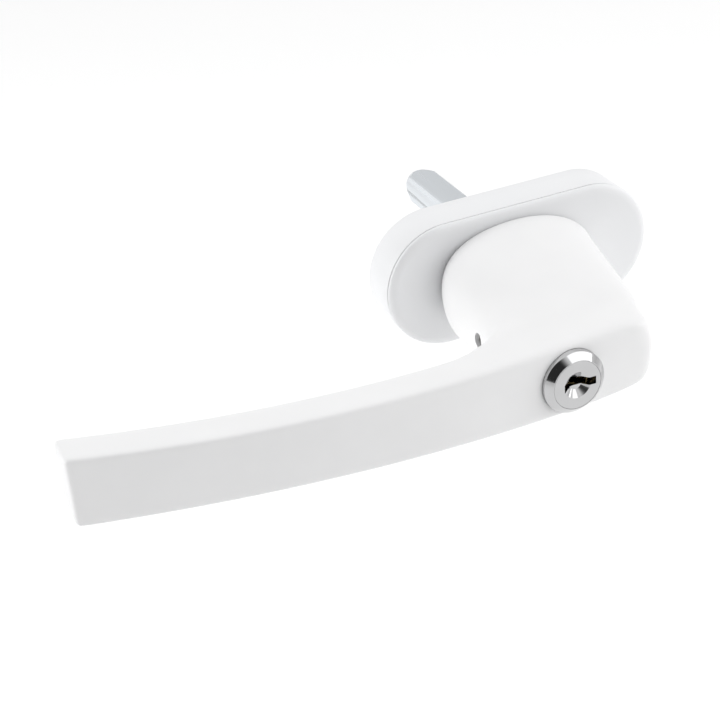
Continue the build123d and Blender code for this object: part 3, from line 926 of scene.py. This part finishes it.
print("rosette cap:", facet_count(cap), "triangles")

# %% [markdown]
# The body is the shell that is screwed to the sash. Its front ends in a narrower step, so a
# groove stays open behind the cap and draws a fine dark line round the rosette.

# %% Rosette body
BODY_FRONT = 10.2
RIM_EDGE = 0.12
SEAM_WIDTH = 0.32
SEAM_REACH = 0.5
SEAM_STEP_BACK = 1.0
BEHIND = -1.0
PLATE_ROOM = (61.3, 25.8, 1.2)
POCKET = (29.0, 24.0, 6.0)
POCKET_CORNER = 2.0
# only the four edges that run front to back lie further out than this both ways
POCKET_CORNER_REGION = 10.0
BUSH_RADIUS = 7.52
SCREW_SPACING = 43.0
SCREW_HOLE_RADIUS = 2.65
SCREW_HEAD_RADIUS = 4.9

rim_front = BODY_FRONT - SEAM_WIDTH
shell = stadium("rosette_shell", ROSETTE_LENGTH, ROSETTE_WIDTH, 0.0, rim_front)
round_rim(shell, rim_front, RIM_EDGE, 2)
round_rim(shell, 0.0, RIM_EDGE, 2)
step_length = ROSETTE_LENGTH - 2 * SEAM_REACH
step_width = ROSETTE_WIDTH - 2 * SEAM_REACH
combine(shell, stadium("seam_step", step_length, step_width, SEAM_STEP_BACK, BODY_FRONT), "UNION")
room_length, room_width, room_depth = PLATE_ROOM
combine(shell, stadium("plate_room", room_length, room_width, BEHIND, room_depth))
pocket_length, pocket_width, pocket_depth = POCKET
pocket = block(
    "pocket",
    (-pocket_length / 2, BEHIND, -pocket_width / 2),
    (pocket_length / 2, pocket_depth, pocket_width / 2),
)
open_edit(pocket)
pick(pocket, "edges", lambda place: min(abs(place.x), abs(place.z)) > POCKET_CORNER_REGION * MM)
bpy.ops.mesh.bevel(offset=POCKET_CORNER * MM, segments=8, affect="EDGES")
bpy.ops.object.mode_set(mode="OBJECT")
combine(shell, pocket)
combine(shell, lathe("bush_drill", ((BUSH_RADIUS, 0.0), (BUSH_RADIUS, OUTSIDE))))
sleeve_groove = lathe("sleeve_groove", (
    (CAP_HOLE_RADIUS - FREE_GAP, SLEEVE_BACK - FREE_GAP),
    (SLEEVE_RADIUS + FREE_GAP, SLEEVE_BACK - FREE_GAP),
    (SLEEVE_RADIUS + FREE_GAP, OUTSIDE),
    (CAP_HOLE_RADIUS - FREE_GAP, OUTSIDE),
), closed=True)
combine(shell, sleeve_groove)
print("rosette body without its small holes:", facet_count(shell), "triangles")

# %% [markdown]
# Two countersunk holes take the screws, and two slots, one at each side, take the lock's bolt
# when the grip points either way.

# %% Holes in the rosette body
LOCK_HOLE_FLOOR = 5.0

sink = SCREW_HEAD_RADIUS - SCREW_HOLE_RADIUS
for side in (-1, 1):
    screw_drill = lathe("screw_drill", (
        (SCREW_HOLE_RADIUS, BEHIND),
        (SCREW_HOLE_RADIUS, BODY_FRONT - sink),
        (SCREW_HEAD_RADIUS, BODY_FRONT),
        (SCREW_HEAD_RADIUS, OUTSIDE),
    ), side * SCREW_SPACING / 2)
    combine(shell, screw_drill)
    lock_hole = obround(
        "lock_hole",
        BOLT_THICKNESS + 2 * FREE_GAP,
        BOLT_WIDTH + 2 * FREE_GAP,
        side * BOLT_X,
        LOCK_HOLE_FLOOR,
        OUTSIDE,
    )
    combine(shell, lock_hole)
print("rosette body:", facet_count(shell), "triangles")

# %% [markdown]
# The pin that holds the lock cylinder is a rolled spring pin: a slit tube, driven in from the
# left side of the neck, so only its dark end shows at the bottom of its hole.

# %% Spring pin
PIN_BORE_RADIUS = 1.1
PIN_SLOT = 0.7
PIN_CHAMFER = 0.25

pin = cross_rod("spring_pin", PIN_RADIUS, PIN_OUTER_X, PIN_INNER_X, PIN_DEPTH)
open_edit(pin)
pick(
    pin,
    "edges",
    lambda place: place.x < (PIN_OUTER_X + NEARLY) * MM or place.x > (PIN_INNER_X - NEARLY) * MM,
)
bpy.ops.mesh.bevel(offset=PIN_CHAMFER * MM, segments=2, affect="EDGES")
bpy.ops.object.mode_set(mode="OBJECT")
combine(pin, cross_rod("pin_bore", PIN_BORE_RADIUS, PIN_OUTER_X - 1, PIN_INNER_X + 1, PIN_DEPTH))
pin_slit = block(
    "pin_slit",
    (PIN_OUTER_X - 1, PIN_DEPTH - PIN_SLOT / 2, -PIN_RADIUS - 1),
    (PIN_INNER_X + 1, PIN_DEPTH + PIN_SLOT / 2, 0),
)
combine(pin, pin_slit)
print("spring pin:", facet_count(pin), "triangles")

# %% [markdown]
# Each new piece stands for one part of the design and moves with that part's body. Smooth
# shading is limited by an angle, so curved skins look round and machined corners stay crisp.

# %% Pieces join their bodies
NEW_PIECES = (
    (lever, "lever", "lever", "white_coat"),
    (housing, "lever", "cylinder_housing", "chrome_plate"),
    (pin, "lever", "cylinder_pin", "pin_steel"),
    (spindle, "lever", "spindle", "spindle_steel"),
    (plug, "plug", "plug", "chrome_plate"),
    (cap, "cap", "rosette_cap", "white_plastic"),
    (shell, "rosette", "rosette_body", "white_plastic"),
)
SMOOTH_ANGLE = math.radians(32)

for piece, body, node, slot_name in NEW_PIECES:
    deselect_all()
    piece.select_set(True)
    bpy.context.view_layer.objects.active = piece
    bpy.ops.object.shade_smooth_by_angle(angle=SMOOTH_ANGLE)
    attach(piece, body)
    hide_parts(node)
print("new pieces:", [piece.name for piece, *_ in NEW_PIECES])

# %% [markdown]
# Finishes read Object coordinates, in metres, so a pattern keeps its real size on every piece.
# A noise scale of 1000 gives grains about a millimetre wide. Numbers that are the same all over
# a surface are set on the shader itself, and only what varies comes from nodes.

# %% Finish helpers
# a noise pattern seldom leaves this band, so its contrast is stretched over it
NOISE_LOW = 0.3
NOISE_HIGH = 0.7


def new_finish(name, colour, roughness, metallic=0.0):
    """A material with one shader, and the numbers that are the same all over it."""
    finish = bpy.data.materials.new(name)
    finish.use_nodes = True
    shader = finish.node_tree.nodes["Principled BSDF"]
    shader.inputs["Base Color"].default_value = (*colour, 1)
    shader.inputs["Roughness"].default_value = roughness
    shader.inputs["Metallic"].default_value = metallic
    return finish


def pattern(finish, scale, stretch=(1, 1, 1), detail=3.0):
    """A noise pattern over the piece; stretch makes its grains longer along an axis."""
    nodes, links = finish.node_tree.nodes, finish.node_tree.links
    place = nodes.new("ShaderNodeTexCoord")
    mapping = nodes.new("ShaderNodeMapping")
    mapping.inputs["Scale"].default_value = [1 / value for value in stretch]
    noise = nodes.new("ShaderNodeTexNoise")
    noise.inputs["Scale"].default_value = scale
    noise.inputs["Detail"].default_value = detail
    links.new(place.outputs["Object"], mapping.inputs["Vector"])
    links.new(mapping.outputs["Vector"], noise.inputs["Vector"])
    return noise.outputs["Fac"]


def vary_roughness(finish, source, low, high):
    """Roughness runs from low to high over a pattern."""
    nodes, links = finish.node_tree.nodes, finish.node_tree.links
    spread = nodes.new("ShaderNodeMapRange")
    spread.inputs["From Min"].default_value = NOISE_LOW
    spread.inputs["From Max"].default_value = NOISE_HIGH
    spread.inputs["To Min"].default_value = low
    spread.inputs["To Max"].default_value = high
    links.new(source, spread.inputs["Value"])
    links.new(spread.outputs["Result"], nodes["Principled BSDF"].inputs["Roughness"])


def vary_colour(finish, source, first, second):
    """Colour runs from the first to the second over a pattern."""
    nodes, links = finish.node_tree.nodes, finish.node_tree.links
    ramp = nodes.new("ShaderNodeValToRGB")
    ramp.color_ramp.elements[0].position = NOISE_LOW
    ramp.color_ramp.elements[0].color = (*first, 1)
    ramp.color_ramp.elements[1].position = NOISE_HIGH
    ramp.color_ramp.elements[1].color = (*second, 1)
    links.new(source, ramp.inputs["Fac"])
    links.new(ramp.outputs["Color"], nodes["Principled BSDF"].inputs["Base Color"])


def emboss(finish, sources, height, strength=1.0):
    """Relief from patterns; the height is in metres."""
    nodes, links = finish.node_tree.nodes, finish.node_tree.links
    previous = None
    for source in sources:
        bump = nodes.new("ShaderNodeBump")
        bump.inputs["Distance"].default_value = height
        bump.inputs["Strength"].default_value = strength
        links.new(source, bump.inputs["Height"])
        if previous:
            links.new(previous, bump.inputs["Normal"])
        previous = bump.outputs["Normal"]
    links.new(previous, nodes["Principled BSDF"].inputs["Normal"])


def describe(finish):
    print(finish.name, "is made of", len(finish.node_tree.nodes), "nodes")


print("finish helpers ready")

# %% [markdown]
# Powder coat is a plastic powder that is melted onto the casting. It flows out almost smooth,
# but keeps a low, wide waviness called orange peel, and a satin gloss. Two patterns make it:
# a wide one for the waves and a fine one for the grain.

# %% White powder coat
white_coat = new_finish("white_powder_coat", (0.785, 0.785, 0.79), 0.42)
coat_waves = pattern(white_coat, 420, detail=1.0)
coat_grain = pattern(white_coat, 2600, detail=3.0)
vary_roughness(white_coat, coat_grain, 0.38, 0.47)
coat_cloud = pattern(white_coat, 90, detail=2.0)
vary_colour(white_coat, coat_cloud, (0.777, 0.777, 0.781), (0.793, 0.793, 0.797))
emboss(white_coat, (coat_waves, coat_grain), 0.000012, 0.5)
white_coat.node_tree.nodes["Principled BSDF"].inputs["Specular IOR Level"].default_value = 0.4
describe(white_coat)

# %% [markdown]
# The rosette is injection-moulded plastic. Its mould was spark-eroded, so the skin has an even,
# very fine grain, and it is a touch cooler in colour than the coat.

# %% White moulded plastic
white_plastic = new_finish("white_moulded_plastic", (0.77, 0.775, 0.785), 0.36)
moulded_grain = pattern(white_plastic, 5200, detail=2.0)
vary_roughness(white_plastic, moulded_grain, 0.33, 0.42)
moulded_cloud = pattern(white_plastic, 60, detail=2.0)
vary_colour(white_plastic, moulded_cloud, (0.762, 0.768, 0.78), (0.775, 0.78, 0.79))
emboss(white_plastic, (moulded_grain,), 0.000006, 0.5)
describe(white_plastic)

# %% [markdown]
# Metals show their making. Drawn bar has long scratches along its axis, turned and polished
# parts have almost none, and stamped sheet is rolled, with a short grain. One helper covers
# them all: a stretched noise sets the roughness and a shallow relief.

# %% Metals
def metal(name, colour, shade, roughness, stretch, scale=900, height=0.000003):
    """A bare or plated metal, between two close colours, with a grain stretched along an axis."""
    finish = new_finish(name, colour, roughness, 1.0)
    grain = pattern(finish, scale, stretch, 4.0)
    vary_roughness(finish, grain, roughness * 0.8, roughness * 1.25)
    vary_colour(finish, pattern(finish, scale / 6, stretch, 2.0), shade, colour)
    emboss(finish, (grain,), height, 0.6)
    describe(finish)
    return finish


ALONG_Y = (1, 30, 1)
ALONG_X = (20, 1, 1)
EVEN = (1, 1, 1)
chrome_plate = metal("bright_chrome", (0.52, 0.52, 0.525), (0.49, 0.49, 0.495), 0.09, EVEN, 700, 0.0000006)
spindle_steel = metal(
    "zinc_plated_bar", (0.70, 0.735, 0.765), (0.68, 0.71, 0.74), 0.24, ALONG_Y, 600, 0.0000008
)
zinc_plate = metal("zinc_plated_sheet", (0.66, 0.68, 0.70), (0.55, 0.57, 0.60), 0.36, ALONG_X)
spring_steel = metal("blued_spring_steel", (0.32, 0.34, 0.38), (0.22, 0.24, 0.29), 0.30, ALONG_X)
pin_steel = metal("dark_pin_steel", (0.36, 0.35, 0.34), (0.22, 0.21, 0.20), 0.38, ALONG_X)
brass = metal("stamped_brass", (0.74, 0.56, 0.27), (0.62, 0.44, 0.19), 0.28, ALONG_X)
zinc_alloy = metal("cast_zinc", (0.55, 0.56, 0.58), (0.44, 0.45, 0.47), 0.42, EVEN, 1500, 0.000006)

# %% [markdown]
# The bush and the thrust washer are acetal, a slippery milky plastic.

# %% Bearing plastic
bush_plastic = new_finish("milky_acetal", (0.80, 0.79, 0.74), 0.40)
acetal_grain = pattern(bush_plastic, 3000)
vary_roughness(bush_plastic, acetal_grain, 0.36, 0.46)
vary_colour(bush_plastic, pattern(bush_plastic, 200), (0.77, 0.76, 0.70), (0.82, 0.81, 0.77))
emboss(bush_plastic, (acetal_grain,), 0.000004, 0.5)
describe(bush_plastic)

# %% [markdown]
# Every part of the design names the material slot it is made of, so one table of finishes dresses
# the new pieces and the loaded parts alike.

# %% Finishes go on, by the record's material slots
FINISHES = {
    "white_coat": white_coat,
    "white_plastic": white_plastic,
    "zinc_plate": zinc_plate,
    "bush_plastic": bush_plastic,
    "spring_steel": spring_steel,
    "spindle_steel": spindle_steel,
    "chrome_plate": chrome_plate,
    "pin_steel": pin_steel,
    "brass": brass,
    "zinc_alloy": zinc_alloy,
}


def wear_finish(piece, finish):
    piece.data.materials.clear()
    piece.data.materials.append(finish)


for piece, _, _, slot_name in NEW_PIECES:
    wear_finish(piece, FINISHES[slot_name])
for part in frame["record"]["subparts"]:
    wear_finish(frame["nodes"][part["node"]], FINISHES[part["material_slot"]])
